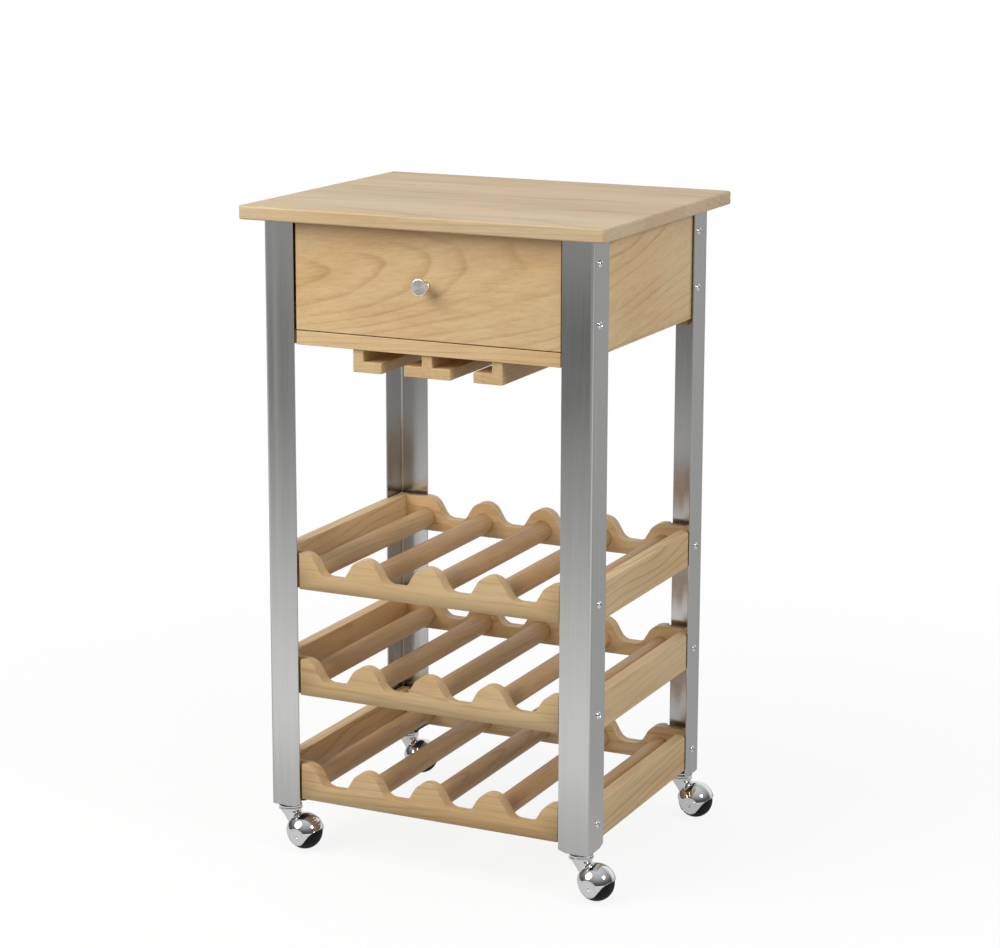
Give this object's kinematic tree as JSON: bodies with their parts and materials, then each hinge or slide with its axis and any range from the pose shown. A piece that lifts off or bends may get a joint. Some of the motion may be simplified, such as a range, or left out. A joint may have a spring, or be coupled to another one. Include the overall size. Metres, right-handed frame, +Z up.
{
  "type": "kitchen island cart",
  "caption": "Wheeled kitchen cart with a wood top over a drawer, a rack for stemmed glasses, wavy wine racks, steel angle legs and hooded ball casters.",
  "frame": {"origin": "on the floor, under the middle of the tabletop", "axes": "+Z up; the drawer and its knob face -Y; +X is the right side seen from the front"},
  "size_m": [0.5172, 0.428, 0.87],
  "materials": {
    "wood": "clear satin lacquer",
    "wood_top": "clear satin lacquer",
    "brushed_steel": "brushed along the leg",
    "chrome": "bright plated",
    "black_plastic": "matte moulded",
    "tyre": "smooth black"
  },
  "bodies": {
    "cart": {"tabletop": "wood_top", "front_bottom_rail": "wood", "back_panel": "wood", "bottom_panel": "wood", "stemware_rail_left": "wood", "stemware_rail_middle": "wood", "stemware_rail_right": "wood", "carcass_side_left": "wood", "carcass_side_right": "wood", "drawer_runner_left": "wood", "drawer_runner_right": "wood", "leg_front_right": "brushed_steel", "stem_socket_front_right": "black_plastic", "leg_front_left": "brushed_steel", "stem_socket_front_left": "black_plastic", "leg_rear_right": "brushed_steel", "stem_socket_rear_right": "black_plastic", "leg_rear_left": "brushed_steel", "stem_socket_rear_left": "black_plastic", "lower_rack_front_rail": "wood", "lower_rack_back_rail": "wood", "lower_rack_left_rail": "wood", "lower_rack_right_rail": "wood", "lower_rack_dowel_1": "wood", "lower_rack_dowel_2": "wood", "lower_rack_dowel_3": "wood", "lower_rack_dowel_4": "wood", "lower_rack_dowel_5": "wood", "middle_rack_front_rail": "wood", "middle_rack_back_rail": "wood", "middle_rack_left_rail": "wood", "middle_rack_right_rail": "wood", "middle_rack_dowel_1": "wood", "middle_rack_dowel_2": "wood", "middle_rack_dowel_3": "wood", "middle_rack_dowel_4": "wood", "middle_rack_dowel_5": "wood", "upper_rack_front_rail": "wood", "upper_rack_back_rail": "wood", "upper_rack_left_rail": "wood", "upper_rack_right_rail": "wood", "upper_rack_dowel_1": "wood", "upper_rack_dowel_2": "wood", "upper_rack_dowel_3": "wood", "upper_rack_dowel_4": "wood", "upper_rack_dowel_5": "wood"},
    "drawer": {"drawer_front": "wood", "drawer_side_left": "wood", "drawer_side_right": "wood", "drawer_back": "wood", "drawer_bottom": "wood", "drawer_knob": "brushed_steel"},
    "caster_front_right": {"caster_hood_front_right": "chrome"},
    "wheel_front_right": {"caster_wheel_front_right": "tyre"},
    "caster_front_left": {"caster_hood_front_left": "chrome"},
    "wheel_front_left": {"caster_wheel_front_left": "tyre"},
    "caster_rear_right": {"caster_hood_rear_right": "chrome"},
    "wheel_rear_right": {"caster_wheel_rear_right": "tyre"},
    "caster_rear_left": {"caster_hood_rear_left": "chrome"},
    "wheel_rear_left": {"caster_wheel_rear_left": "tyre"}
  },
  "joints": [
    {"name": "drawer_slide", "type": "slide", "parent": "cart", "child": "drawer", "axis": [0, -1, 0], "range_m": [0, 0.26]},
    {"name": "caster_swivel_front_right", "type": "hinge", "parent": "cart", "child": "caster_front_right", "pos_m": [0.2135, -0.172, 0.056], "axis": [0, 0, 1], "continuous": true},
    {"name": "wheel_roll_front_right", "type": "hinge", "parent": "caster_front_right", "child": "wheel_front_right", "pos_m": [0.23637, -0.1744, 0.0235], "axis": [0.1039, 0.9881, 0.1132], "continuous": true},
    {"name": "caster_swivel_front_left", "type": "hinge", "parent": "cart", "child": "caster_front_left", "pos_m": [-0.2135, -0.172, 0.056], "axis": [0, 0, 1], "continuous": true},
    {"name": "wheel_roll_front_left", "type": "hinge", "parent": "caster_front_left", "child": "wheel_front_left", "pos_m": [-0.19056, -0.1736, 0.0235], "axis": [0.0693, 0.9912, 0.1132], "continuous": true},
    {"name": "caster_swivel_rear_right", "type": "hinge", "parent": "cart", "child": "caster_rear_right", "pos_m": [0.2135, 0.172, 0.056], "axis": [0, 0, 1], "continuous": true},
    {"name": "wheel_roll_rear_right", "type": "hinge", "parent": "caster_rear_right", "child": "wheel_rear_right", "pos_m": [0.23649, 0.1712, 0.0235], "axis": [0.0347, 0.993, 0.1132], "continuous": true},
    {"name": "caster_swivel_rear_left", "type": "hinge", "parent": "cart", "child": "caster_rear_left", "pos_m": [-0.2135, 0.172, 0.056], "axis": [0, 0, 1], "continuous": true},
    {"name": "wheel_roll_rear_left", "type": "hinge", "parent": "caster_rear_left", "child": "wheel_rear_left", "pos_m": [-0.19053, 0.1708, 0.0235], "axis": [0.052, 0.9922, 0.1132], "continuous": true}
  ]
}
